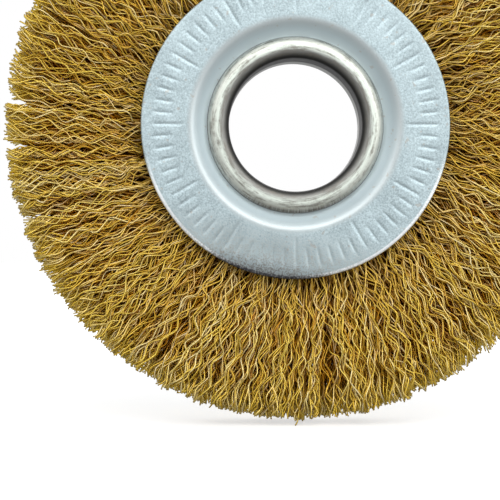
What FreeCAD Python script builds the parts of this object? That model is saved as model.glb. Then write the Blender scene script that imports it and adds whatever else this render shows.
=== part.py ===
import FreeCAD, Part
import collections
import math
import os
import random

# A crimped wire wheel for a bench grinder, in millimetres.
# Two pressed steel plates face each other and hold a fill of crimped wire between them. Each tuft of
# wire is a hairpin, folded over a round core ring, with one leg to the front and one to the rear. The tufts
# lie in two nested layers. A thin arbor sleeve runs through both plates and its ends are rolled outwards,
# which clamps the wheel together.
# The origin is the wheel's centre. The wheel spins about Y, and the front plate faces -Y.

# Arbor sleeve: a thin tube with both ends rolled outwards into a bead with a flat crown
BORE_RADIUS = 16.0
SLEEVE_WALL = 1.0
BEAD_RADIUS = 2.2
BEAD_FLAT = 0.75

# Side plates: flat face, dished middle for the bead, rim turned in over the wire
SHEET = 0.8
PLATE_RADIUS = 37.1
FACE_HEIGHT = 7.5
DISH_DEPTH = 2.2
DISH_FLOOR_RADIUS = 21.35
DISH_TOP_RADIUS = 24.7
DISH_FLOOR_FILLET = 0.4
DISH_SHOULDER_FILLET = 3.4
RIM_FILLET = 1.0
RIM_SKIRT = 2.3
SLEEVE_FIT = 0.05

# Core ring: round steel wire that the hairpins are folded over
RING_RADIUS = 28.5
RING_WIRE_RADIUS = 2.0
RING_FIT = 0.05

# Wire fill: two layers of hairpin tufts round the core ring, the inner ones behind the gaps of the outer ones
TUFT_COUNT = 60
TUFTS_PER_NODE = 2
INNER_SHARE = 0.93
OUTER_SHARE = 0.66
FOLD_GAP = 0.3
FOLD_STEPS = 3
LAYER_GAP = 0.3
PARTING_RADIUS = 4.2
INNER_MOUTH_HEIGHT = 3.2
INNER_TIP_HEIGHT = 6.5
OUTER_MOUTH_HEIGHT = 4.2
OUTER_TIP_HEIGHT = 8.6
FLARE_SCATTER = 1.3
FLARE_POWER = 0.85
TIP_RADIUS = 69.4
TIP_SCATTER = 0.8
BEND_COUNT = 5
INNER_CRIMP = 0.9
OUTER_CRIMPS = (0.6, 1.2)
SLANT = 0.105
SCATTER_SEED = 12

DISH_FLOOR_HEIGHT = FACE_HEIGHT - DISH_DEPTH
SLEEVE_RADIUS = BORE_RADIUS + SLEEVE_WALL
CROWN_HEIGHT = DISH_FLOOR_HEIGHT + BEAD_RADIUS
LIP_RADIUS = BORE_RADIUS + 2 * BEAD_RADIUS + BEAD_FLAT
CAVITY_HEIGHT = FACE_HEIGHT - SHEET
SKIRT_HEIGHT = FACE_HEIGHT - RIM_SKIRT
MOUTH_RADIUS = PLATE_RADIUS - SHEET
FOLD_STEP_ANGLE = math.pi / FOLD_STEPS
FOLD_INNER_RADIUS = (RING_WIRE_RADIUS + RING_FIT) / math.cos(FOLD_STEP_ANGLE / 2)
HALF_PITCH = math.pi / TUFT_COUNT
CRIMP_STEP = (TIP_RADIUS + TIP_SCATTER - MOUTH_RADIUS) / BEND_COUNT
SHORTEST_RUN = 0.001

CENTRE = FreeCAD.Vector(0, 0, 0)
SPIN_AXIS = FreeCAD.Vector(0, 1, 0)
SIDEWAYS = FreeCAD.Vector(0, 0, 1)

# A layer of tufts: its place between two tufts of the outer layer, how much of the round its tufts fill, the
# range of their crimp, and their low and high bounds at the fold, measured from the ring's middle, and at the
# mouth and the tip, measured from the middle plane. The two layers are crimped to opposite sides.
Layer = collections.namedtuple("Layer", "place share crimp fold mouth tip flare_scatter")
INNER_LAYER = Layer(
    place=0.5,
    share=INNER_SHARE,
    crimp=(-INNER_CRIMP, -INNER_CRIMP),
    fold=(FOLD_INNER_RADIUS, PARTING_RADIUS),
    mouth=(LAYER_GAP / 2, INNER_MOUTH_HEIGHT),
    tip=(LAYER_GAP / 2, INNER_TIP_HEIGHT),
    flare_scatter=0,
)
OUTER_LAYER = Layer(
    place=0,
    share=OUTER_SHARE,
    crimp=OUTER_CRIMPS,
    fold=(PARTING_RADIUS + LAYER_GAP, CAVITY_HEIGHT),
    mouth=(INNER_MOUTH_HEIGHT + LAYER_GAP, OUTER_MOUTH_HEIGHT),
    tip=(INNER_TIP_HEIGHT + LAYER_GAP, OUTER_TIP_HEIGHT),
    flare_scatter=FLARE_SCATTER,
)


def front_point(radius, height):
    """A point of a turned profile, at this height in front of the wheel's middle plane."""
    return FreeCAD.Vector(radius, -height, 0)


def rear_point(radius, height):
    return FreeCAD.Vector(radius, height, 0)


def turned(profile):
    return profile.revolve(CENTRE, SPIN_AXIS, 360)


def rounded_path(corners, radii):
    """A wire of straight runs through the corners, with a tangent arc of the given radius at each inner one."""
    edges = []
    start = corners[0]
    for before, corner, after, radius in zip(corners, corners[1:], corners[2:], radii):
        back = (before - corner).normalize()
        ahead = (after - corner).normalize()
        half_angle = back.getAngle(ahead) / 2
        reach = radius / math.tan(half_angle)
        to_centre = (back + ahead).normalize()
        middle = corner + to_centre * (radius / math.sin(half_angle) - radius)
        edges += straight_run(start, corner + back * reach)
        edges.append(Part.Arc(corner + back * reach, middle, corner + ahead * reach).toShape())
        start = corner + ahead * reach
    edges += straight_run(start, corners[-1])
    return Part.Wire(edges)


def straight_run(start, end):
    """The edge between two points, or none where one arc runs straight into the next."""
    if start.distanceToPoint(end) < SHORTEST_RUN:
        return []
    return [Part.LineSegment(start, end).toShape()]


def sheet_section(outer_side, gauge):
    """The face of a bent sheet: the path on its outer side, thickened to the path's right."""
    return outer_side.makeOffset2D(-gauge, fill=True, openResult=True)


def side_plate():
    """The front plate: one sheet, dished round the sleeve, flat over the wire and turned in at the rim."""
    corners = [
        front_point(SLEEVE_RADIUS + SLEEVE_FIT, DISH_FLOOR_HEIGHT),
        front_point(DISH_FLOOR_RADIUS, DISH_FLOOR_HEIGHT),
        front_point(DISH_TOP_RADIUS, FACE_HEIGHT),
        front_point(PLATE_RADIUS, FACE_HEIGHT),
        front_point(PLATE_RADIUS, SKIRT_HEIGHT),
    ]
    outer_side = rounded_path(corners, [DISH_FLOOR_FILLET, DISH_SHOULDER_FILLET, RIM_FILLET])
    return turned(sheet_section(outer_side, SHEET))


def arbor_sleeve():
    """The sleeve: one sheet, from the rear lip over its crown, through the bore and over the front crown."""
    corners = [
        rear_point(LIP_RADIUS, DISH_FLOOR_HEIGHT),
        rear_point(LIP_RADIUS, CROWN_HEIGHT),
        rear_point(BORE_RADIUS, CROWN_HEIGHT),
        front_point(BORE_RADIUS, CROWN_HEIGHT),
        front_point(LIP_RADIUS, CROWN_HEIGHT),
        front_point(LIP_RADIUS, DISH_FLOOR_HEIGHT),
    ]
    return turned(sheet_section(rounded_path(corners, [BEAD_RADIUS] * 4), SLEEVE_WALL))


def core_ring():
    return Part.makeTorus(RING_RADIUS, RING_WIRE_RADIUS, CENTRE, SPIN_AXIS)


def section(low, high, offset, half_width):
    """The four corners of a tuft's section, from its low to its high side, square to its path."""
    left = SIDEWAYS * (offset - half_width)
    right = SIDEWAYS * (offset + half_width)
    return [low + left, low + right, high + right, high + left]


def fold_sections(layer):
    """The sections of the fold, from the front leg round the inner side of the core ring to the rear leg."""
    low, high = layer.fold
    half_width = (RING_RADIUS - high) * math.tan(HALF_PITCH) - FOLD_GAP / 2
    middle = FreeCAD.Vector(RING_RADIUS, 0, 0)
    sections = []
    for step in range(FOLD_STEPS + 1):
        angle = step * FOLD_STEP_ANGLE
        outward = FreeCAD.Vector(-math.sin(angle), -math.cos(angle), 0)
        sections.append(section(middle + outward * low, middle + outward * high, 0, half_width))
    return sections


def crimp_offset(bend, swing):
    """How far sideways a leg stands at this bend, counted from the plates' mouth: a zigzag that starts at none."""
    before = math.floor(bend)
    offsets = [swing * (-1) ** number if number else 0 for number in (before, before + 1)]
    return offsets[0] + (offsets[1] - offsets[0]) * (bend - before)


def leg_sections(point, layer, swing, scatter):
    """The sections of one leg: from the mouth at the rim it flares, leans over and zigzags out to its tip."""
    tip_radius = TIP_RADIUS + scatter.uniform(-TIP_SCATTER, TIP_SCATTER)
    low_tip, high_tip = layer.tip
    high_tip += layer.flare_scatter * scatter.uniform(-1, 1)
    sections = []
    for bend in range(BEND_COUNT + 1):
        radius = min(MOUTH_RADIUS + bend * CRIMP_STEP, tip_radius)
        flare = ((radius - MOUTH_RADIUS) / (TIP_RADIUS - MOUTH_RADIUS)) ** FLARE_POWER
        low = layer.mouth[0] + (low_tip - layer.mouth[0]) * flare
        high = layer.mouth[1] + (high_tip - layer.mouth[1]) * flare
        lean = SLANT * radius * math.log(radius / MOUTH_RADIUS)
        offset = crimp_offset((radius - MOUTH_RADIUS) / CRIMP_STEP, swing) - lean
        half_width = layer.share * radius * math.tan(HALF_PITCH)
        sections.append(section(point(radius, low), point(radius, high), offset, half_width))
    return sections


def hairpin(layer, scatter):
    """One tuft as a closed solid: front leg from its tip inwards, fold, rear leg out to its tip."""
    swing = scatter.uniform(*layer.crimp)
    front = leg_sections(front_point, layer, swing, scatter)
    rear = leg_sections(rear_point, layer, swing, scatter)
    sections = front[::-1] + fold_sections(layer) + rear
    rings = [corners + corners[:1] for corners in sections]
    outlines = [rings[0], rings[-1]]
    for here, there in zip(rings, rings[1:]):
        for side in range(len(here) - 1):
            outlines.append([here[side], here[side + 1], there[side + 1], there[side], here[side]])
    faces = [Part.Face(Part.makePolygon(outline)) for outline in outlines]
    return Part.Solid(Part.Shell(faces))


def wire_tufts():
    """The nodes of the wire fill by name, each a group of neighbouring tufts of both layers."""
    scatter = random.Random(SCATTER_SEED)
    nodes = {}
    for first in range(0, TUFT_COUNT, TUFTS_PER_NODE):
        group = []
        for number in range(first, first + TUFTS_PER_NODE):
            for layer in (OUTER_LAYER, INNER_LAYER):
                tuft = hairpin(layer, scatter)
                tuft.rotate(CENTRE, SPIN_AXIS, (number + layer.place) * 360 / TUFT_COUNT)
                group.append(tuft)
        nodes[f"wire_tufts_{first // TUFTS_PER_NODE + 1:02d}"] = Part.makeCompound(group)
    return nodes


front_plate = side_plate()
nodes = {
    "front_plate": front_plate,
    "rear_plate": front_plate.mirror(CENTRE, SPIN_AXIS),
    "arbor_sleeve": arbor_sleeve(),
    "core_ring": core_ring(),
}
nodes.update(wire_tufts())

os.makedirs("parts", exist_ok=True)
for name, shape in nodes.items():
    shape.exportStep(f"parts/{name}.step")
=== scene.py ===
import math

import bpy
import numpy as np
from mathutils import Matrix, Vector


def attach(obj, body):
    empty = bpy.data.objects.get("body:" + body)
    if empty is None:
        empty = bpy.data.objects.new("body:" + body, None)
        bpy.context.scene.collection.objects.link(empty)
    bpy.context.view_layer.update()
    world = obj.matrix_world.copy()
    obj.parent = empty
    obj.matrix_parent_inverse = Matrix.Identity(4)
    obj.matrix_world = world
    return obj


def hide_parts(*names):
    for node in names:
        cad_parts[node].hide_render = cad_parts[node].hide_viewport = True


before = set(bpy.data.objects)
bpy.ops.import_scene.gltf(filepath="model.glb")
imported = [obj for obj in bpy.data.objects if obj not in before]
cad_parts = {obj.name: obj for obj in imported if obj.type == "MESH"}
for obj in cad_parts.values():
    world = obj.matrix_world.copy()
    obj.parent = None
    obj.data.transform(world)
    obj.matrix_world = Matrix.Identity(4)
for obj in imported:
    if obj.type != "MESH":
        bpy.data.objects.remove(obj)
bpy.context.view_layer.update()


# Core ring
# A ring of round steel wire, buried between the plates. Every wire of the fill is folded over it.
# Its solid is right as it is, so it only gets the dull grey of drawn wire.

RING_DARK = (0.2, 0.19, 0.18, 1)
RING_PALE = (0.36, 0.35, 0.33, 1)
RING_ROUGHNESS = 0.5
RING_CELLS = 900.0


class Link:
    """One output in a finish's node tree. Arithmetic on it adds Math nodes, and node() any other node."""

    def __init__(self, tree, socket=None):
        self.tree = tree
        self.socket = socket

    def node(self, kind, settings=None, sockets=None, output=0):
        """Adds a node, sets its settings, then its sockets' values or links, and returns one output."""
        made = self.tree.nodes.new("ShaderNode" + kind)
        for name, value in (settings or {}).items():
            if name == "stops":
                self.set_stops(made.color_ramp, value)
            else:
                setattr(made, name, value)
        for name, value in (sockets or {}).items():
            if isinstance(value, Link):
                self.tree.links.new(value.socket, made.inputs[name])
            else:
                made.inputs[name].default_value = value
        return Link(self.tree, made.outputs[output])

    def set_stops(self, ramp, stops):
        """Gives a colour ramp these places and colours."""
        while len(ramp.elements) < len(stops):
            ramp.elements.new(0.5)
        for element, (place, colour) in zip(ramp.elements, stops):
            element.position = place
            element.color = colour

    def maths(self, operation, first, second):
        """Adds a Math node with this operation on two numbers or links."""
        return self.node("Math", {"operation": operation}, {0: first, 1: second})

    def __add__(self, other):
        return self.maths("ADD", self, other)

    def __radd__(self, other):
        return self.maths("ADD", other, self)

    def __sub__(self, other):
        return self.maths("SUBTRACT", self, other)

    def __rsub__(self, other):
        return self.maths("SUBTRACT", other, self)

    def __mul__(self, other):
        return self.maths("MULTIPLY", self, other)

    def __rmul__(self, other):
        return self.maths("MULTIPLY", other, self)


def metal_finish(name):
    """A bare metal: returns the material, a Link into its nodes and the shader whose sockets vary."""
    material = bpy.data.materials.new(name)
    material.use_nodes = True
    shader = material.node_tree.nodes["Principled BSDF"]
    shader.inputs["Metallic"].default_value = 1.0
    return material, Link(material.node_tree), shader


def connect(source, shader, socket):
    """Links an output to one of a shader's sockets."""
    source.tree.links.new(source.socket, shader.inputs[socket])


def noise(nodes, vector, scale, detail=3.0, roughness=0.5):
    """Smooth noise between about 0.3 and 0.7, at so many cells for each unit of the vector."""
    return nodes.node(
        "TexNoise", {}, {"Vector": vector, "Scale": scale, "Detail": detail, "Roughness": roughness}
    )


def mixed(nodes, factor, first, second):
    """A colour between two, by a factor from 0 to 1."""
    return nodes.node(
        "Mix", {"data_type": "RGBA"}, {"Factor": factor, "A": first, "B": second}, output="Result"
    )


def ring_finish():
    """Drawn steel wire, with darker and paler scale in small blotches."""
    material, nodes, shader = metal_finish("drawn_ring_wire")
    scale_marks = noise(nodes, nodes.node("TexCoord", output="Object"), RING_CELLS)
    connect(mixed(nodes, scale_marks, RING_DARK, RING_PALE), shader, "Base Color")
    shader.inputs["Roughness"].default_value = RING_ROUGHNESS
    return material


core_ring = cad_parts["core_ring"]
core_ring.data.materials.clear()
core_ring.data.materials.append(ring_finish())


# Wire fill
# Thousands of thin steel wires with a brass coating, each crimped into waves, folded over the core ring as a
# hairpin and clamped by the plates, so that one leg stands to the front and one to the rear. Neighbours lie
# together in locks, and the tips are trimmed to a rough circle and have dull cut ends.

MM = 0.001

# Lengths in millimetres, angles in radians. A wire's depth goes from 0 in the middle of the fill to 1 at its
# outside. Its way goes from 0 at the mouth between the plates' rims to 1 at its tip.
RING_RADIUS = 28.5
FOLD_RADII = (2.3, 6.0)
FOLD_STEPS = 4
PRESSED_RADIUS = 34.0
PRESSED_SQUEEZE = 0.3
MOUTH_RADIUS = 36.3
MOUTH_HEIGHTS = (0.1, 3.9)
MOUTH_LEAN = 0.055
MOUTH_LEAN_WAY = 0.4
SLANT = 0.105
LEAN = 0.03
LEAN_POWER = 1.3
FLARE_POWER = 0.85
TIP_RADIUS = 69.9
TIP_HEIGHT = 9.6
TIP_HEIGHT_SPREAD = 0.4
TIP_PROUD = 0.3
TRIM_SHIFT = (0.9, -0.3)
TRIM_SPREAD = 0.17
SHORT_SHARE = 0.07
SHORT_BY = (0.5, 6.0)
STRAY_SHARE = 0.015
STRAY_REACH = 1.2
STRAY_LEAN = 0.05

# The wires come in small sets, crimped alike
WIRE_RADIUS = 0.21
WIRE_SIDES = 3
SETS_PER_NODE = 80
SET_SIZE = 2
GOLDEN_SHARE = 0.618
SET_DEPTH_SPREAD = 0.05
CRIMP_WAVE = 7.6
CRIMP_WAVE_SPREAD = 0.06
CRIMP_HEIGHTS = (0.58, 1.18)
CRIMP_FADE = 3.0
CRIMP_TURN = 0.75
ODD_TURN_SHARE = 0.15
ODD_TURN = 1.2
CRIMP_ALONG_AXIS = 0.8
BEND_COUNT = 8
BEND_SPREAD = 0.22
BEND_UNEVEN = 0.12
BEND_UNEVEN_MOST = 0.25
BEND_SIZES = (0.6, 1.4)
BEND_TO_TIP = 0.06
WANDER = 0.55
WANDER_WAVES = (0.6, 1.6)
WANDER_WAY = 0.35
WANDER_ALONG_AXIS = 1.2

# How much the wires of one set differ
OWN_ANGLE = 0.01
OWN_DEPTH = 0.03
OWN_BEND = 0.16
OWN_WAVE = 0.012
OWN_LEAN = 0.004
OWN_MOUTH_LEAN = 0.012
OWN_HEIGHT = 0.2
OWN_TURN = 0.15
OWN_CRIMP = 0.06

# Where wires gather and part
GATHER_SHIFT = 0.4
LOCK_COUNT = 42
LOCK_PULLS = (0, 0.42)
LOCK_DEPTHS = (0.35, 0.8)
LOCK_LEAST = 0.1
LOCK_POWER = 2
BUNCH_COUNT = 84
BUNCH_PULLS = (0.1, 0.7)
BUNCH_DEPTHS = (0.4, 0.8)
BUNCH_WAY = 0.3
PARTING_ANGLE = -1.387
PARTING_PUSH = 0.025
PARTING_REACH = 0.08
PARTING_DEPTHS = (0.2, 0.5)
PARTING_WAYS = (0.25, 0.7)
NOTCH_DEGREES = (175, 184, 188, 192, 196, 199)
NOTCH_SIZES = (1.0, 1.0, 0.4, 0.7, 0.6, 0.6)
NOTCH_PUSH = 0.031
NOTCH_REACH = 0.035
LUMP_COUNTS = (53, 89, 131)
LUMP_DEPTH = 0.2
EDGE_POWER = 5
FILL_SEED = 41
SECTOR_SHIFT = 0.25

# Shares of the square map that the finish is baked to
MAP_ENDS = 0.02
MAP_ROW_FILL = 0.8

BRASS_STOPS = (
    (0.2, (0.58, 0.36, 0.03, 1)),
    (0.55, (0.71, 0.52, 0.065, 1)),
    (0.9, (0.85, 0.73, 0.38, 1)),
)
BRASS_TINT = (0.95, 0.72, 0.3, 1)
OIL_AND_SHADE_BROWN = (0.48, 0.175, 0.001, 1)
DEEP_SHADOW_BROWN = (0.03, 0.012, 0.002, 1)
WORN_AND_GLINT_PALE = (0.68, 0.57, 0.37, 1)
CUT_END = (0.2, 0.16, 0.1, 1)
PATCH_CELLS = 300.0
INSIDE_DEPTHS = (0.6, 0.98)
OIL_AND_SHADE_FROM_TIP = (2.0, 10.0)
ROOT_FROM_TIP = (22.0, 34.0)
BURIED_FROM_TIP = (27.0, 34.0)
CUT_FROM_TIP = (0.1, 0.5)
WORN_AND_GLINT_START = (0.63, 0.7)
GLOSS = 0.75
GLOSS_ROUGHNESS = 0.2


def blend(first, second, share):
    """The value that lies this share of the way from the first to the second."""
    return first + (second - first) * share


def smooth_step(low, high, value):
    """0 up to low and 1 past high, with an even S-curve between. Low may be the greater of the two."""
    share = np.clip((value - low) / (high - low), 0, 1)
    return share * share * (3 - 2 * share)


def gathers(rng, count, pulls):
    """Places round the wheel that wires are drawn to, not quite evenly spaced, each with its own pull."""
    places = np.arange(count) + rng.uniform(-GATHER_SHIFT, GATHER_SHIFT, count)
    return {"angle": places * 2 * np.pi / count, "pull": rng.uniform(*pulls, count)}


def nearest_gather(angle, centres):
    """The number of the centre that lies nearest to each angle, and the turn towards it."""
    gap = np.angle(np.exp(1j * (centres[None, :] - angle[:, None])))
    number = np.abs(gap).argmin(1)
    return number, np.take_along_axis(gap, number[:, None], 1)[:, 0]


def parted(angle, centre, push, reach):
    """The turn away from a parting in the fill: most beside it, and less by a power of e further off."""
    gap = np.angle(np.exp(1j * (angle - centre)))
    return push * np.sign(gap) * np.exp(-np.abs(gap) / reach)


def notched(angle):
    """The turn of each tip away from the notches where the fill's edge has sprung apart."""
    notches = zip(np.radians(NOTCH_DEGREES), NOTCH_SIZES)
    return sum(parted(angle, centre, NOTCH_PUSH * size, NOTCH_REACH) for centre, size in notches)


def lumpy(angle):
    """How far the edge stands in or out at each angle: a sum of three sines, for lumps of 3 to 8 mm."""
    return LUMP_DEPTH * sum(np.sin(count * angle + count) for count in LUMP_COUNTS)


def shared(rng, of_set, spread):
    """A value for every wire: the one its set shares, plus a little of its own."""
    of_wire = of_set.repeat(SET_SIZE)
    return of_wire + rng.normal(0, spread, len(of_wire))


def crimp_steps(rng):
    """Where the points of each leg lie, in half waves from its tip, and how far the crimp swings there.

    The crimp is an uneven zigzag with straight flanks and round bends: three points make each bend, and one
    the innermost. The tip cuts the last flank anywhere."""
    first_bend = shared(rng, rng.uniform(BEND_SPREAD, 1 + BEND_SPREAD, SETS_PER_NODE), OWN_BEND)
    first_bend = np.maximum(first_bend, BEND_SPREAD + BEND_TO_TIP)[:, None]
    bends = np.append(np.arange(BEND_COUNT).repeat(3), BEND_COUNT)
    spread = np.append(np.tile([-BEND_SPREAD, 0, BEND_SPREAD], BEND_COUNT), 0)
    uneven = rng.normal(0, BEND_UNEVEN, (SETS_PER_NODE, BEND_COUNT + 1))
    uneven = np.clip(uneven, -BEND_UNEVEN_MOST, BEND_UNEVEN_MOST)
    uneven[:, 0] = 0
    uneven = uneven.repeat(SET_SIZE, 0)[:, bends]
    sizes = rng.uniform(*BEND_SIZES, (SETS_PER_NODE, BEND_COUNT + 1)).repeat(SET_SIZE, 0)[:, bends]
    corner = 1 / (1 - BEND_SPREAD)
    level = sizes * np.where(spread == 0, 1, corner * (1 - 2 * BEND_SPREAD)) * (-1.0) ** bends
    steps = np.concatenate([np.zeros_like(first_bend), first_bend + bends + spread + uneven], 1)
    swing = np.concatenate([corner * (1 - 2 * first_bend), level], 1)
    return steps, swing * rng.choice([-1, 1], SETS_PER_NODE).repeat(SET_SIZE)[:, None]


def wander(rng, way):
    """A slow sine wave of its own for each leg, that grows from nothing at the mouth."""
    turns = rng.uniform(*WANDER_WAVES, (len(way), 1))
    start = rng.uniform(0, 1, (len(way), 1))
    size = rng.normal(0, WANDER, (len(way), 1))
    return size * np.sin(2 * np.pi * (turns * way + start)) * smooth_step(0, WANDER_WAY, way)


def tip_radii(rng, root_angle, stray):
    """Where each leg is cut: on a circle a little off the axis, but for short wires and strays."""
    count = len(root_angle)
    tip = TIP_RADIUS + TRIM_SHIFT[0] * np.cos(root_angle) + TRIM_SHIFT[1] * np.sin(root_angle)
    tip = tip + rng.normal(0, TRIM_SPREAD, count)
    tip = tip - np.where(rng.random(count) < SHORT_SHARE, rng.uniform(*SHORT_BY, count), 0)
    return tip + np.where(stray, rng.uniform(0, STRAY_REACH, count), 0)


def leg_angles(rng, bunches, locks, root_angle, depth, stray, radius, way):
    """The angle of every point of each leg's middle line.

    It runs out at a steady slant, so its angle falls with the logarithm of the radius, and it leans more as
    it goes out. It is drawn to its bunch at the mouth and to its lock at the tip, and is turned away from
    the parting and the notches."""
    lean = shared(rng, rng.normal(0, LEAN, SETS_PER_NODE), OWN_LEAN)
    lean = lean + np.where(stray, rng.normal(0, STRAY_LEAN, len(stray)), 0)
    angle = root_angle[:, None] + lean[:, None] * way**LEAN_POWER - SLANT * np.log(radius / MOUTH_RADIUS)
    mouth_lean = shared(rng, rng.normal(0, MOUTH_LEAN, SETS_PER_NODE), OWN_MOUTH_LEAN)
    angle = angle + mouth_lean[:, None] * smooth_step(MOUTH_LEAN_WAY, 0, way)

    lock, to_lock = nearest_gather(root_angle, locks["angle"])
    pull = locks["pull"][lock] * (LOCK_LEAST + (1 - LOCK_LEAST) * smooth_step(*LOCK_DEPTHS, depth))
    angle = angle + (pull * to_lock)[:, None] * way**LOCK_POWER

    turned = parted(root_angle, PARTING_ANGLE, PARTING_PUSH, PARTING_REACH)
    turned = turned * smooth_step(*PARTING_DEPTHS, depth)
    angle = angle + turned[:, None] * smooth_step(*PARTING_WAYS, way)
    angle = angle + notched(angle[:, 0])[:, None] * way**EDGE_POWER

    bunch, to_bunch = nearest_gather(root_angle, bunches["angle"])
    bunched = bunches["pull"][bunch] * to_bunch * smooth_step(*BUNCH_DEPTHS, depth)
    return angle + bunched[:, None] * smooth_step(BUNCH_WAY, 0, way)


def leg_heights(rng, depth, way):
    """How far every point lies from the wheel's middle plane: it flares by a power of the way out."""
    mouth_height = blend(*MOUTH_HEIGHTS, depth)
    shift = shared(rng, rng.normal(0, TIP_HEIGHT_SPREAD, SETS_PER_NODE), OWN_HEIGHT)
    tip_height = np.minimum(TIP_HEIGHT * depth + shift, TIP_HEIGHT)
    return blend(mouth_height[:, None], tip_height[:, None], way**FLARE_POWER)


def leg_path(rng, bunches, locks, root_angle, depth, side):
    """Points of one leg of each hairpin, from its tip in to the mouth between the plates.

    The crimp is added across the middle line, in a plane turned at random, and dies away between the plates.
    The slow wander is added both across it and along the axis."""
    stray = rng.random(len(root_angle)) < STRAY_SHARE
    tip = tip_radii(rng, root_angle, stray)
    steps, swing = crimp_steps(rng)
    half_wave = CRIMP_WAVE / 2 * shared(rng, rng.normal(1, CRIMP_WAVE_SPREAD, SETS_PER_NODE), OWN_WAVE)
    radius = tip[:, None] - steps * half_wave[:, None]
    radius = np.where(radius < PRESSED_RADIUS, blend(PRESSED_RADIUS, radius, PRESSED_SQUEEZE), radius)
    way = np.clip((radius - MOUTH_RADIUS) / (tip[:, None] - MOUTH_RADIUS), 0, 1)

    angle = leg_angles(rng, bunches, locks, root_angle, depth, stray, radius, way)
    radius = radius + lumpy(angle[:, 0])[:, None] * way**EDGE_POWER
    height = leg_heights(rng, depth, way)

    turn = rng.normal(0, CRIMP_TURN, SETS_PER_NODE)
    odd = rng.random(SETS_PER_NODE) < ODD_TURN_SHARE
    turn = np.where(odd, rng.uniform(-ODD_TURN, ODD_TURN, SETS_PER_NODE), turn)
    turn = shared(rng, turn, OWN_TURN)[:, None]
    swing = swing * shared(rng, rng.uniform(*CRIMP_HEIGHTS, SETS_PER_NODE), OWN_CRIMP)[:, None]
    swing = swing * smooth_step(PRESSED_RADIUS - CRIMP_FADE, PRESSED_RADIUS + CRIMP_FADE, radius)
    across = swing * np.cos(turn) + wander(rng, way)
    height = height + swing * np.sin(turn) * CRIMP_ALONG_AXIS + wander(rng, way) * WANDER_ALONG_AXIS
    height = np.minimum(height, TIP_HEIGHT + TIP_PROUD)

    x = radius * np.cos(angle) - across * np.sin(angle)
    z = radius * np.sin(angle) + across * np.cos(angle)
    return np.stack([x, side * height, z], -1)


def fold_path(root_angle, depth):
    """Points of each fold: a half circle round the inner side of the core ring, from front to rear."""
    turn = np.linspace(0, np.pi, FOLD_STEPS + 1)[None, :]
    fold = blend(*FOLD_RADII, depth)[:, None]
    radius = RING_RADIUS - fold * np.sin(turn)
    height = -fold * np.cos(turn)
    return np.stack([radius * np.cos(root_angle)[:, None], height, radius * np.sin(root_angle)[:, None]], -1)


def hairpins(rng, bunches, locks, first_angle, last_angle):
    """Middle lines of one sector's hairpins, in metres, from front tip over fold to rear tip, and depths.

    They come in small sets, crimped alike and lying side by side. From set to set the depth steps by the
    golden share, which spreads every layer evenly."""
    places = np.arange(SETS_PER_NODE)
    set_angle = blend(first_angle, last_angle, (places + rng.random(SETS_PER_NODE)) / SETS_PER_NODE)
    set_depth = places * GOLDEN_SHARE + rng.random() + rng.normal(0, SET_DEPTH_SPREAD, SETS_PER_NODE)
    root_angle = shared(rng, set_angle, OWN_ANGLE)
    depth = np.clip(shared(rng, set_depth % 1, OWN_DEPTH), 0, 1)
    front = leg_path(rng, bunches, locks, root_angle, depth, -1)
    rear = leg_path(rng, bunches, locks, root_angle, depth, 1)
    return np.concatenate([front, fold_path(root_angle, depth), rear[:, ::-1]], 1) * MM, depth


def unit(vectors):
    """The vectors, each divided by its length."""
    return vectors / np.linalg.norm(vectors, axis=-1, keepdims=True)


def even_angles(count):
    """The angles of this many points spaced evenly round a full turn."""
    return np.arange(count) * 2 * np.pi / count


def tube_points(paths, sideways, roll):
    """Rings of WIRE_SIDES points round every point of every path, square to its run."""
    run = unit(np.gradient(paths, axis=1))
    first = unit(sideways - (sideways * run).sum(-1, keepdims=True) * run)
    second = np.cross(run, first)
    turn = roll[:, None, None] + even_angles(WIRE_SIDES)
    ring = np.cos(turn)[..., None] * first[:, :, None] + np.sin(turn)[..., None] * second[:, :, None]
    return paths[:, :, None] + ring * WIRE_RADIUS * MM


def tube_faces(wires, steps):
    """Quads between the rings of each wire, and the two faces that close its cut ends."""
    rings = np.arange(wires * steps * WIRE_SIDES).reshape(wires, steps, WIRE_SIDES)
    after = np.roll(rings, -1, axis=2)
    quads = np.stack([rings[:, :-1], rings[:, 1:], after[:, 1:], after[:, :-1]], -1)
    ends = np.concatenate([rings[:, 0], rings[:, -1, ::-1]])
    return quads.reshape(-1, 4), ends


def mesh_from(name, points, faces, ends=np.zeros((0, 3), int)):
    """A mesh of smooth faces and of any flat end faces, put in as whole arrays."""
    mesh = bpy.data.meshes.new(name)
    corners = np.concatenate([faces.ravel(), ends.ravel()])
    sizes = np.concatenate([np.full(len(faces), faces.shape[1]), np.full(len(ends), ends.shape[1])])
    mesh.vertices.add(len(points))
    mesh.vertices.foreach_set("co", points.astype(np.float32).ravel())
    mesh.loops.add(len(corners))
    mesh.loops.foreach_set("vertex_index", corners.astype(np.int32))
    mesh.polygons.add(len(sizes))
    mesh.polygons.foreach_set("loop_start", (np.cumsum(sizes) - sizes).astype(np.int32))
    mesh.polygons.foreach_set("use_smooth", np.arange(len(sizes)) < len(faces))
    mesh.update()
    return mesh


def piece_from(name, mesh, finish):
    """An object at the origin with this mesh and finish, put into the scene."""
    mesh.materials.append(finish)
    piece = bpy.data.objects.new(name, mesh)
    bpy.context.collection.objects.link(piece)
    return piece


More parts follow.
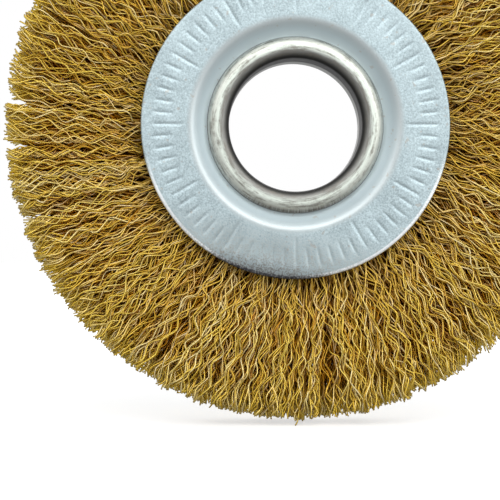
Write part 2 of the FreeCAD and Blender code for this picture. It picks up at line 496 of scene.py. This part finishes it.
def unrolled(mesh, wires, steps):
    """Lays every wire out as one row of a square map: along it by u, round it by v, its ends beside it."""
    along = np.linspace(MAP_ENDS, 1 - MAP_ENDS, steps)
    u = np.stack([along[:-1], along[1:], along[1:], along[:-1]], -1)[None, :, None, :]
    side = np.arange(WIRE_SIDES)[:, None] + np.array([0, 0, 1, 1])[None, :]
    in_row = (1 - MAP_ROW_FILL) / 2 + MAP_ROW_FILL * side[None, None] / WIRE_SIDES
    v = (np.arange(wires)[:, None, None, None] + in_row) / wires
    tube = np.stack(np.broadcast_arrays(u, v), -1).reshape(-1, 2)

    turn = even_angles(WIRE_SIDES)[None, :]
    row = (np.arange(wires)[:, None] + 0.5 + MAP_ROW_FILL / 2 * np.sin(turn)) / wires
    end = MAP_ENDS / 2 * (1 + MAP_ROW_FILL * np.cos(turn))
    first = np.stack(np.broadcast_arrays(end, row), -1)
    last = np.stack(np.broadcast_arrays(1 - end, row), -1)
    places = np.concatenate([tube, first.reshape(-1, 2), last.reshape(-1, 2)])
    mesh.uv_layers.new(name="OFBake").data.foreach_set("uv", places.astype(np.float32).ravel())


def point_value(mesh, name, values):
    """Keeps one number for every point of the mesh, for its finish to read."""
    attribute = mesh.attributes.new(name, "FLOAT", "POINT")
    attribute.data.foreach_set("value", np.ascontiguousarray(values, np.float32).ravel())


def ramped(nodes, value, start, end, first=0.0, last=1.0):
    """Goes evenly from first to last as the value goes from start to end, and stays level outside them."""
    return nodes.node(
        "MapRange",
        {},
        {"Value": value, "From Min": start, "From Max": end, "To Min": first, "To Max": last},
    )


def wire_finish():
    """Brass-coated wire, from reddish to pale by its tone and in patches of its own.

    The depth and the millimetres to the tip make it brown with oil and painted shade inside the fill and
    near the mouth, with a painted shadow darker still deep near the mouth, and dull at the cut end. The
    palest patches are partly wear and partly painted glints, and the gloss fades inwards."""
    material, nodes, shader = metal_finish("brass_coated_wire")
    place = nodes.node("TexCoord", output="Object")
    tone = nodes.node("Attribute", {"attribute_name": "wire_tone"}, output="Fac")
    depth = nodes.node("Attribute", {"attribute_name": "wire_depth"}, output="Fac")
    to_tip = nodes.node("Attribute", {"attribute_name": "to_tip"}, output="Fac")
    own_place = nodes.node("VectorMath", {"operation": "ADD"}, {0: place, 1: tone * 0.7})
    patches = noise(nodes, own_place, PATCH_CELLS)
    brass = nodes.node("ValToRGB", {"stops": BRASS_STOPS}, {"Fac": tone * 0.4 + patches * 0.8})

    inside = ramped(nodes, depth, *INSIDE_DEPTHS, 1.0, 0.0)
    inward = ramped(nodes, to_tip, *OIL_AND_SHADE_FROM_TIP)
    rooted = ramped(nodes, to_tip, *ROOT_FROM_TIP)
    buried = ramped(nodes, to_tip, *BURIED_FROM_TIP)
    # Painted shade: wires deep in the fill, and all wires near the mouth, are browned as if in shade, along
    # with oil.
    oiled_and_shaded = mixed(nodes, inside * inward * 0.8 + rooted * 0.2, brass, OIL_AND_SHADE_BROWN)
    # Painted shadow: deep wires near the mouth, under the plates' rims, are darkened nearly to black.
    deep_shadowed = mixed(nodes, inside * buried * 0.85, oiled_and_shaded, DEEP_SHADOW_BROWN)

    # The palest patches are partly wear and partly painted glints, mixed towards a pale brass.
    worn_and_glint = ramped(nodes, tone * 0.3 + patches * 0.7 - to_tip * 0.002, *WORN_AND_GLINT_START)
    paled_and_glinted = mixed(nodes, worn_and_glint * 0.42, deep_shadowed, WORN_AND_GLINT_PALE)
    cut = ramped(nodes, to_tip, *CUT_FROM_TIP, 0.4, 0.0)
    connect(mixed(nodes, cut, paled_and_glinted, CUT_END), shader, "Base Color")
    connect(0.36 + patches * 0.3, shader, "Roughness")
    connect(GLOSS - inside * GLOSS, shader, "Coat Weight")
    shader.inputs["Coat Roughness"].default_value = GLOSS_ROUGHNESS
    shader.inputs["Specular Tint"].default_value = BRASS_TINT
    return material


def wire_group(name, rng, bunches, locks, first_angle, last_angle, finish):
    """One sector's wires as one piece, whose points know how far the tip is, their depth and their tone."""
    paths, depth = hairpins(rng, bunches, locks, first_angle, last_angle)
    wires, steps = paths.shape[:2]
    root = paths[:, steps // 2]
    sideways = unit(np.stack([-root[:, 2], np.zeros(wires), root[:, 0]], -1))[:, None]
    points = tube_points(paths, sideways, rng.uniform(0, 2 * np.pi, wires))
    quads, ends = tube_faces(wires, steps)
    mesh = mesh_from(name, points.reshape(-1, 3), quads, ends)
    unrolled(mesh, wires, steps)

    length = np.linalg.norm(np.diff(paths, axis=1), axis=-1).cumsum(1)
    length = np.concatenate([np.zeros((wires, 1)), length], 1)
    to_tip = np.minimum(length, length[:, -1:] - length) / MM
    point_value(mesh, "to_tip", np.repeat(to_tip, WIRE_SIDES))
    point_value(mesh, "wire_depth", np.repeat(depth, steps * WIRE_SIDES))
    point_value(mesh, "wire_tone", np.repeat(rng.random(wires), steps * WIRE_SIDES))
    return piece_from(name, mesh, finish)


fill_rng = np.random.default_rng(FILL_SEED)
fill_locks = gathers(fill_rng, LOCK_COUNT, LOCK_PULLS)
fill_bunches = gathers(fill_rng, BUNCH_COUNT, BUNCH_PULLS)
tuft_nodes = sorted(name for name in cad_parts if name.startswith("wire_tufts_"))
sector = 2 * np.pi / len(tuft_nodes)
brass_coat = wire_finish()
for number, node in enumerate(tuft_nodes):
    middle_angle = -(number + SECTOR_SHIFT) * sector
    piece = wire_group(
        node.replace("tufts", "fill"),
        fill_rng,
        fill_bunches,
        fill_locks,
        middle_angle - sector / 2,
        middle_angle + sector / 2,
        brass_coat,
    )
    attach(piece, "root")
    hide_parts(node)


# Side plates
# Two discs of zinc-plated sheet steel, each pressed with a dish for the sleeve's bead and a rim turned in
# over the wire. The beads hold both against the wire, and the front one has a plain ring of stamped strokes.

# Lengths in millimetres
SHEET = 0.8
PLATE_RADIUS = 37.1
FACE_HEIGHT = 7.5
DISH_HEIGHT = 5.3
DISH_FLOOR_RADIUS = 21.35
DISH_TOP_RADIUS = 25.0
SKIRT_HEIGHT = 5.2
PLATE_BORE = 17.05
PLATE_FILLETS = (0.4, 3.0, 0.5)
FILLET_POINTS = 6
LONGEST_STEP = 0.8
PLAIN_COLUMNS = 240
SHARP_DEGREES = 40

# The stamped strokes, every sixth of which is long
STROKE_COUNT = 72
STROKE_COLUMNS = 10
STROKE_CROWDING = 0.75
STROKE_BAND = (27.4, 34.0)
STROKE_WIDTH = 0.62
STROKE_EDGES = (0.2, 0.75)
STROKE_DEPTH = 0.145
STROKE_FADE = 0.3
LONG_STROKE_EVERY = 6
SHORT_STROKE_START = 0.45
FLATNESS = 0.01

# Radii, heights above the axis and distances towards the lowest edge, where the finish changes
CREVICE = (21.2, 21.4)
DISH_SLOPE = (21.5, 23.5)
SHOULDER_START = (23.2, 25.0)
SHOULDER_END = (26.3, 25.2)
FACE_START = (24.5, 26.5)
RIM_START = (36.1, 36.4)
RIM_HIGHLIGHT_HEIGHTS = (-16.0, -7.0)
SHADE_HEADING = (-0.2, 0.0, -0.98)
LOWER_SHADE_START = (23.0, 35.0)
SHADE_START = (32.5, 36.2)
RIM_SHADE_START = (33.5, 36.0)

ZINC_STOPS = (
    (0.3, (0.265, 0.32, 0.34, 1)),
    (0.5, (0.4, 0.485, 0.51, 1)),
    (0.7, (0.54, 0.64, 0.67, 1)),
)
SHOULDER_HIGHLIGHT_GREY = (0.48, 0.49, 0.48, 1)
RIM_HIGHLIGHT_WHITE = (0.92, 0.95, 0.96, 1)
SPECK_BROWN = (0.35, 0.27, 0.2, 1)
LOWER_SHADE_BROWN = (0.23, 0.215, 0.185, 1)
SHADE_GREY = (0.08, 0.08, 0.08, 1)
RIM_SHADE_BLACK = (0.05, 0.05, 0.055, 1)
CREVICE_SHADE_BLACK = (0.05, 0.045, 0.04, 1)
GRAIN_CELLS = 2300.0
CLOUD_CELLS = 160.0
SPECK_CELLS = 700.0
SPECK_START = (0.69, 0.74)
SPECKLED_GRAIN = (0.4, 0.62)
BROKEN_GRAIN = (0.3, 0.55)
ZINC_RELIEF = 0.1


def rounded_path(corners, radii, arc_points):
    """Points along straight runs through the corners, with each inner corner cut by a tangent arc.

    A corner's arc starts and ends at radius / tan(half angle) from it, and is sampled evenly by angle."""
    points = [corners[:1]]
    for before, corner, after, radius in zip(corners, corners[1:], corners[2:], radii):
        back = unit(before - corner)
        ahead = unit(after - corner)
        half = math.acos(np.clip(back @ ahead, -1, 1)) / 2
        centre = corner + unit(back + ahead) * radius / math.sin(half)
        start = corner + back * radius / math.tan(half) - centre
        end = corner + ahead * radius / math.tan(half) - centre
        share = np.linspace(0, 1, arc_points)[:, None]
        swing = math.pi - 2 * half
        arc = (np.sin((1 - share) * swing) * start + np.sin(share * swing) * end) / math.sin(swing)
        points.append(centre + arc)
    points.append(corners[-1:])
    return np.concatenate(points)


def even_steps(path, longest):
    """The path with points added, so that no step along it is longer than this."""
    step = np.linalg.norm(np.diff(path, axis=0), axis=1)
    along = np.concatenate([[0], step.cumsum()])
    counts = np.maximum(1, np.ceil(np.diff(along) / longest)).astype(int)
    runs = zip(along, along[1:], counts)
    places = [np.linspace(start, end, count + 1)[:-1] for start, end, count in runs]
    places = np.append(np.concatenate(places), along[-1])
    return np.stack([np.interp(places, along, path[:, axis]) for axis in (0, 1)], -1)


def sheet_loop(path, gauge):
    """The closed section of a bent sheet: the path on its outer side, then that path moved in by a gauge."""
    run = unit(np.gradient(path, axis=0))
    inward = np.stack([run[:, 1], -run[:, 0]], -1)
    return np.concatenate([path, (path + inward * gauge)[::-1]])


def plate_section():
    """Section of the pressed sheet: flat dish floor, slope, face and turned-in rim, with round bends."""
    corners = np.array(
        [
            (PLATE_BORE, DISH_HEIGHT),
            (DISH_FLOOR_RADIUS, DISH_HEIGHT),
            (DISH_TOP_RADIUS, FACE_HEIGHT),
            (PLATE_RADIUS, FACE_HEIGHT),
            (PLATE_RADIUS, SKIRT_HEIGHT),
        ]
    )
    path = even_steps(rounded_path(corners, PLATE_FILLETS, FILLET_POINTS), LONGEST_STEP)
    return sheet_loop(path, SHEET)


def turned_grid(section, angles):
    """Points of a section of radius and height, turned about the wheel's axis: one row for each angle."""
    radius, height = section[None, :, 0], section[None, :, 1]
    x = radius * np.cos(angles)[:, None]
    z = radius * np.sin(angles)[:, None]
    return np.stack([x, np.broadcast_to(-height, x.shape), z], -1)


def stroke_angles():
    """Angles round the plate, crowded four to one at each stroke by a sine of the way between two."""
    share = np.arange(STROKE_COLUMNS) / STROKE_COLUMNS
    crowded = share - STROKE_CROWDING * np.sin(2 * np.pi * share) / (2 * np.pi)
    return ((np.arange(STROKE_COUNT)[:, None] + crowded[None, :]) * 2 * np.pi / STROKE_COUNT).ravel()


def stroke_depth(radius, angles):
    """How deep the stamp goes: a groove with round edges across each stroke, faded out at its two ends."""
    number = np.round(angles * STROKE_COUNT / (2 * np.pi)).astype(int) % STROKE_COUNT
    turn = np.angle(np.exp(1j * (angles - number * 2 * np.pi / STROKE_COUNT)))
    short_start = blend(*STROKE_BAND, SHORT_STROKE_START)
    inner = np.where(number % LONG_STROKE_EVERY == 0, STROKE_BAND[0], short_start)[:, None]
    outer = STROKE_BAND[1]
    along = smooth_step(inner - STROKE_FADE, inner + STROKE_FADE, radius)
    along = along * (1 - smooth_step(outer - STROKE_FADE, outer + STROKE_FADE, radius))
    offset = np.abs(turn)[:, None] * radius
    across = 1 - smooth_step(STROKE_WIDTH * STROKE_EDGES[0], STROKE_WIDTH * STROKE_EDGES[1], offset)
    return STROKE_DEPTH * along * across


def stamped_grid(section, angles):
    """The turned plate, with the strokes pressed into the flat part of its outer side."""
    grid = turned_grid(section, angles)
    outer = len(section) // 2
    radius = np.broadcast_to(section[None, :outer, 0], grid.shape[:1] + (outer,))
    flat = section[None, :outer, 1] > FACE_HEIGHT - FLATNESS
    grid[:, :outer, 1] += np.where(flat, stroke_depth(radius, angles), 0)
    return grid


def closed_grid_mesh(name, grid):
    """A mesh of a grid that closes on itself both ways, with sharp edges where it bends by a wide angle."""
    rows, columns = grid.shape[:2]
    here = np.arange(rows * columns).reshape(rows, columns)
    below = np.roll(here, -1, axis=0)
    quads = np.stack([here, np.roll(here, -1, 1), np.roll(below, -1, 1), below], -1).reshape(-1, 4)
    mesh = mesh_from(name, grid.reshape(-1, 3) * MM, quads)
    mesh.set_sharp_from_angle(angle=math.radians(SHARP_DEGREES))
    return mesh


def spoke_and_radius(nodes, place):
    """Each point's place without its share along the axis, and how far it is from the axis, in mm."""
    spoke = nodes.node("VectorMath", {"operation": "MULTIPLY"}, {0: place, 1: (1 / MM, 0.0, 1 / MM)})
    return spoke, nodes.node("VectorMath", {"operation": "LENGTH"}, {0: spoke}, output="Value")


def zinc_finish():
    """Zinc plating, with a fine bluish grain, dull clouds and a few brown specks on the face.

    The dish is hazy and smooth, with painted light that lifts its colour towards the bead, and a painted
    highlight in neutral grey on the shoulder above it. The rim's lower part has a painted highlight, a
    near-white line. Painted shade lies in the crevice at the bead, and grows in the grain towards the lowest
    edge, nearly black on the rim."""
    material, nodes, shader = metal_finish("zinc_plated_sheet")
    place = nodes.node("TexCoord", output="Object")
    spoke, radius = spoke_and_radius(nodes, place)
    upright = nodes.node("SeparateXYZ", {}, {"Vector": spoke}, output="Z")
    downward = nodes.node(
        "VectorMath", {"operation": "DOT_PRODUCT"}, {0: spoke, 1: SHADE_HEADING}, output="Value"
    )
    grain = noise(nodes, place, GRAIN_CELLS, detail=2.0, roughness=0.6)
    clouds = noise(nodes, place, CLOUD_CELLS, detail=4.0, roughness=0.6)
    specks = ramped(nodes, noise(nodes, place, SPECK_CELLS, detail=1.0), *SPECK_START)

    face = ramped(nodes, radius, *FACE_START)
    # Painted light: the dish is lighter towards the bead, lifting the shade in the groove there.
    dish = ramped(nodes, radius, *DISH_SLOPE, 0.7, 0.54)
    zinc = nodes.node(
        "ValToRGB", {"stops": ZINC_STOPS}, {"Fac": dish + face * (grain * 0.7 + clouds * 0.3 - dish)}
    )
    shoulder = ramped(nodes, radius, *SHOULDER_START) * ramped(nodes, radius, *SHOULDER_END)
    # Painted highlight: the shoulder ring is mixed half way to a neutral grey, where the lamps' highlight
    # falls.
    pressed = mixed(nodes, shoulder * 0.5, zinc, SHOULDER_HIGHLIGHT_GREY)
    spotted = mixed(nodes, specks * 0.35, pressed, SPECK_BROWN)

    rim = ramped(nodes, radius, *RIM_START)
    # Painted highlight: a near-white line on the rim's lower part, which is also made smoother.
    rim_highlight = rim * ramped(nodes, upright, *RIM_HIGHLIGHT_HEIGHTS, 0.9, 0.0)
    rim_highlighted = mixed(nodes, rim_highlight, spotted, RIM_HIGHLIGHT_WHITE)

    speckled = ramped(nodes, grain, *SPECKLED_GRAIN)
    broken = ramped(nodes, grain, *BROKEN_GRAIN)
    # Painted shade towards the lowest edge, broken up by the grain: brown over the lower face, grey nearer
    # the rim.
    lower_shade = ramped(nodes, downward, *LOWER_SHADE_START) * (0.06 + speckled * 0.74)
    shade = ramped(nodes, downward, *SHADE_START, 0.0, 0.9) * (0.55 + speckled * 0.45)
    # Painted shade: the rim's lowest part is darkened nearly to black, broken up by the grain.
    rim_shade = rim * ramped(nodes, downward, *RIM_SHADE_START) * (0.55 + broken * 0.45)
    lower_shaded = mixed(nodes, lower_shade, rim_highlighted, LOWER_SHADE_BROWN)
    shaded = mixed(nodes, shade, lower_shaded, SHADE_GREY)
    rim_shaded = mixed(nodes, rim_shade, shaded, RIM_SHADE_BLACK)
    # Painted shade: a nearly black line in the crevice just outside the bead.
    crevice_shade = ramped(nodes, radius, *CREVICE, 0.8, 0.0)
    connect(mixed(nodes, crevice_shade, rim_shaded, CREVICE_SHADE_BLACK), shader, "Base Color")

    connect(0.4 + face * (grain * 0.12 + clouds * 0.1) - rim_highlight * 0.2, shader, "Roughness")
    connect(0.35 + nodes.maths("MAXIMUM", face, shoulder * 0.85) * 0.65, shader, "Metallic")
    relief = face * (grain + clouds) + clouds
    bump = nodes.node("Bump", {}, {"Strength": 0.4, "Distance": ZINC_RELIEF * MM, "Height": relief})
    connect(bump, shader, "Normal")
    return material


def turned_round(piece):
    """Turns a piece half a turn about the upright axis, in its mesh, so that it faces the rear."""
    piece.data.transform(Matrix.Rotation(math.pi, 4, "Z"))


zinc_coat = zinc_finish()
front_grid = stamped_grid(plate_section(), stroke_angles())
front_sheet = piece_from("front_side_plate", closed_grid_mesh("front_side_plate", front_grid), zinc_coat)
plain_grid = turned_grid(plate_section(), even_angles(PLAIN_COLUMNS))
rear_sheet = piece_from("rear_side_plate", closed_grid_mesh("rear_side_plate", plain_grid), zinc_coat)
turned_round(rear_sheet)
for piece, node in ((front_sheet, "front_plate"), (rear_sheet, "rear_plate")):
    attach(piece, "root")
    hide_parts(node)


# Arbor sleeve
# A thin steel tube through both plates. Its two ends are rolled outwards over the plates into half-round
# beads that clamp the wheel together, and the rolling tool leaves bright and brownish streaks round them.

# Lengths in millimetres
BORE_RADIUS = 16.0
SLEEVE_WALL = 1.0
BEAD_RADIUS = 2.2
BEAD_FLAT = 0.75
BEAD_POINTS = 10
BORE_POINTS = 4
SLEEVE_COLUMNS = 288
ROLL_WIDTH = 6.0
BORE_SHADE_ALONG_AXIS = (1.5, -1.5)
LOW_FLANK_SHADE_HEIGHTS = (-12.5, -19.5)

# From the bare rear half and the front half of the bore, in painted shade, out over the bead's crest to its
# lip, with painted light and shade on the bead between
STEEL_LIGHT_AND_SHADE_STOPS = (
    (0.0, (0.4, 0.4, 0.39, 1)),
    (0.008, (0.02, 0.019, 0.018, 1)),
    (0.05, (0.02, 0.019, 0.018, 1)),
    (0.13, (0.085, 0.085, 0.08, 1)),
    (0.31, (0.24, 0.24, 0.225, 1)),
    (0.49, (0.68, 0.735, 0.67, 1)),
    (0.6, (0.59, 0.625, 0.57, 1)),
    (0.72, (0.58, 0.605, 0.55, 1)),
    (0.86, (0.68, 0.68, 0.63, 1)),
    (0.98, (0.12, 0.11, 0.1, 1)),
)
SCRATCH_BROWN = (0.19, 0.175, 0.15, 1)
LOW_FLANK_SHADE_BROWN = (0.14, 0.1, 0.07, 1)
STREAK_CELLS = 1.6
SCUFF_CELLS = 800.0
CHATTER_CELLS = 55.0
STREAKS_ROUND = (2.2, 2.2, 2.2)
BEAD_START = (0.08, 0.2)
FLANK_START = (0.66, 0.82)
SCRATCH_END = (0.37, 0.52)
STEEL_RELIEF = 0.1


def sleeve_section():
    """Section of the rolled tube: quarter circle, flat crown, quarter circle at each end, bore between."""
    turn = np.linspace(0, np.pi / 2, BEAD_POINTS)
    lip = np.stack([BEAD_FLAT + BEAD_RADIUS * (1 + np.cos(turn)), BEAD_RADIUS * np.sin(turn)], -1)
    root = np.stack([BEAD_RADIUS * (1 - np.sin(turn)), BEAD_RADIUS * np.cos(turn)], -1)
    front = np.concatenate([lip, root]) + (BORE_RADIUS, DISH_HEIGHT)
    bore_heights = np.linspace(DISH_HEIGHT, -DISH_HEIGHT, BORE_POINTS + 2)[1:-1]
    bore = np.stack([np.full(BORE_POINTS, BORE_RADIUS), bore_heights], -1)
    rear = front[::-1] * (1, -1)
    return sheet_loop(np.concatenate([front, bore, rear])[::-1], SLEEVE_WALL)[::-1]


def sleeve_finish():
    """Rolled steel, coloured by the way out over the bead, with painted light and shade.

    The bore's front half is in painted shade. The streaks are noise that is short across the bead and long
    round it. Scratches follow them, and painted shade with a brown painted reflection lies on the lowest
    part of the bead's flank, broken up by the tool's chatter."""
    material, nodes, shader = metal_finish("rolled_sleeve_steel")
    place = nodes.node("TexCoord", output="Object")
    spoke, radius = spoke_and_radius(nodes, place)
    heading = nodes.node("VectorMath", {"operation": "NORMALIZE"}, {0: spoke})
    upright = nodes.node("SeparateXYZ", {}, {"Vector": spoke}, output="Z")
    axial = nodes.node("SeparateXYZ", {}, {"Vector": place}, output="Y") * (1 / MM)
    across = nodes.node("CombineXYZ", {}, {"Y": radius * 0.9 + axial * 0.4})
    round_it = nodes.node(
        "VectorMath", {"operation": "MULTIPLY_ADD"}, {0: heading, 1: STREAKS_ROUND, 2: across}
    )
    streaks = noise(nodes, round_it, STREAK_CELLS, detail=5.0, roughness=0.65)
    scuffs = noise(nodes, place, SCUFF_CELLS, roughness=0.7)

    roll = ramped(nodes, radius, BORE_RADIUS, BORE_RADIUS + ROLL_WIDTH)
    bead = ramped(nodes, roll, *BEAD_START)
    # Painted shade: the front half of the bore is shifted to black on the ramp.
    front_bore_shade = ramped(nodes, axial, *BORE_SHADE_ALONG_AXIS)
    # Painted light and shade: the stops give a black ring and dark inner flank at the bead's root, a
    # highlight along the crest and a dark line at the lip.
    steel = nodes.node(
        "ValToRGB", {"stops": STEEL_LIGHT_AND_SHADE_STOPS}, {"Fac": roll + front_bore_shade * 0.02 + bead * (streaks - 0.5) * 0.3}
    )
    scratches = bead * ramped(nodes, streaks * 0.72 + scuffs * 0.28, *SCRATCH_END, 0.8, 0.0)
    scratched = mixed(nodes, scratches, steel, SCRATCH_BROWN)
    flank = ramped(nodes, roll, *FLANK_START)
    chatter = noise(nodes, heading, CHATTER_CELLS, detail=1.0)
    # Painted shade and a brown painted reflection of the wires on the lowest part of the bead's outer flank,
    # broken up by the tool's chatter.
    low_flank_shade = ramped(nodes, upright, *LOW_FLANK_SHADE_HEIGHTS) * flank * (chatter * 1.6 - 0.1)
    connect(mixed(nodes, low_flank_shade, scratched, LOW_FLANK_SHADE_BROWN), shader, "Base Color")

    connect(0.31 + scuffs * 0.22 + streaks * 0.12, shader, "Roughness")
    relief = streaks + scuffs * 0.6
    bump = nodes.node("Bump", {}, {"Strength": 0.3, "Distance": STEEL_RELIEF * MM, "Height": relief})
    connect(bump, shader, "Normal")
    return material


sleeve_grid = turned_grid(sleeve_section(), even_angles(SLEEVE_COLUMNS))
sleeve = piece_from("rolled_sleeve", closed_grid_mesh("rolled_sleeve", sleeve_grid), sleeve_finish())
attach(sleeve, "root")
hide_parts("arbor_sleeve")


# Studio
# A pale floor that the wheel stands on, soft lamps and the camera, which looks at the front plate from a
# little below and to the left of the bore's axis.

# Lengths in metres and power in watts, but the photo in pixels and the sensor in millimetres
FLOOR_HEIGHT = -0.072
FLOOR_REACH = 4.0
FLOOR_GREY = (0.7, 0.7, 0.7, 1)
FLOOR_ROUGHNESS = 0.9
FLOOR_SPECULAR = 0.1
FLOOR_LIFT = (0.62, 1.0)
FLOOR_LIFT_REACH = (0.1, 0.5)
FLOOR_MIRRORED = 0.18
SKY_GREY = (0.32, 0.33, 0.34, 1)
BLACK = (0, 0, 0, 1)
WHITE = (1, 1, 1, 1)
SOFTBOXES = (
    ("top_softbox", (0.08, -0.66, 0.52), (1.1, 0.6), 3.6),
    ("left_softbox", (-0.6, -0.65, 0.36), (0.35, 0.5), 0.7),
    ("right_softbox", (0.64, -0.68, 0.1), (0.5, 0.8), 2.1),
    ("rear_softbox", (0.1, 0.8, 0.5), (0.8, 0.8), 2.4),
)
PHOTO_SIDE = 500
WHEEL_PIXEL = (296, 124)
PIXELS_PER_METRE = 4190
FACE_DISTANCE = 0.3425
CAMERA_LEFT = 0.02
CAMERA_NEAR = 0.01
SENSOR_WIDTH = 36.0


def white_rays(nodes, mirrored_share):
    """1 for a ray from the camera, a share for a mirrored or passed-on one, and 0 for one that lights."""
    seen = nodes.node("LightPath", output="Is Camera Ray")
    mirrored = nodes.node("LightPath", output="Is Glossy Ray")
    through = nodes.node("LightPath", output="Is Transmission Ray")
    return nodes.maths("MAXIMUM", seen, nodes.maths("MAXIMUM", mirrored, through) * mirrored_share)


def floor_finish():
    """Pale floor that is lifted to white away from the wheel, and less where the metal mirrors it."""
    material = bpy.data.materials.new("pale_floor")
    material.use_nodes = True
    shader = material.node_tree.nodes["Principled BSDF"]
    shader.inputs["Base Color"].default_value = FLOOR_GREY
    shader.inputs["Roughness"].default_value = FLOOR_ROUGHNESS
    shader.inputs["Specular IOR Level"].default_value = FLOOR_SPECULAR
    shader.inputs["Emission Strength"].default_value = 1.0
    nodes = Link(material.node_tree)
    place = nodes.node("TexCoord", output="Object")
    away = nodes.node("VectorMath", {"operation": "LENGTH"}, {0: place}, output="Value")
    lifted = ramped(nodes, away, *FLOOR_LIFT_REACH, *FLOOR_LIFT) * white_rays(nodes, FLOOR_MIRRORED)
    connect(mixed(nodes, lifted, BLACK, WHITE), shader, "Emission Color")
    return material


def softbox(name, place, size, power):
    """An oval lamp that faces the middle of the wheel."""
    light = bpy.data.lights.new(name, "AREA")
    light.shape = "ELLIPSE"
    light.size, light.size_y = size
    light.energy = power
    holder = bpy.data.objects.new(name, light)
    holder.location = place
    holder.rotation_euler = (-Vector(place)).to_track_quat("-Z", "Y").to_euler()
    bpy.context.collection.objects.link(holder)


floor_corners = np.array([(-1, -1), (1, -1), (1, 1), (-1, 1)]) * FLOOR_REACH
floor_points = np.column_stack([floor_corners, np.full(4, FLOOR_HEIGHT)])
floor = piece_from("floor", mesh_from("floor", floor_points, np.arange(4)[None, :]), floor_finish())

for name, place, size, power in SOFTBOXES:
    softbox(name, place, size, power)

world = bpy.data.worlds.new("studio")
world.use_nodes = True
bpy.context.scene.world = world
sky = Link(world.node_tree)
background = world.node_tree.nodes["Background"]
connect(mixed(sky, white_rays(sky, 1.0), SKY_GREY, WHITE), background, "Color")

pixels_ahead = PIXELS_PER_METRE * FACE_DISTANCE
aside = (WHEEL_PIXEL[0] - PHOTO_SIDE / 2) / pixels_ahead
above = (PHOTO_SIDE / 2 - WHEEL_PIXEL[1]) / pixels_ahead
yaw = math.atan(CAMERA_LEFT / FACE_DISTANCE) - math.atan(aside)
camera_data = bpy.data.cameras.new("photo_camera")
camera_data.sensor_width = SENSOR_WIDTH
camera_data.lens = pixels_ahead / PHOTO_SIDE * SENSOR_WIDTH
camera_data.clip_start = CAMERA_NEAR
camera = bpy.data.objects.new("photo_camera", camera_data)
camera.location = (-CAMERA_LEFT, -FACE_DISTANCE - FACE_HEIGHT * MM, -above * FACE_DISTANCE)
camera.rotation_euler = (math.pi / 2, 0, -yaw)
bpy.context.collection.objects.link(camera)
bpy.context.scene.camera = camera
bpy.context.scene.view_settings.view_transform = "Standard"
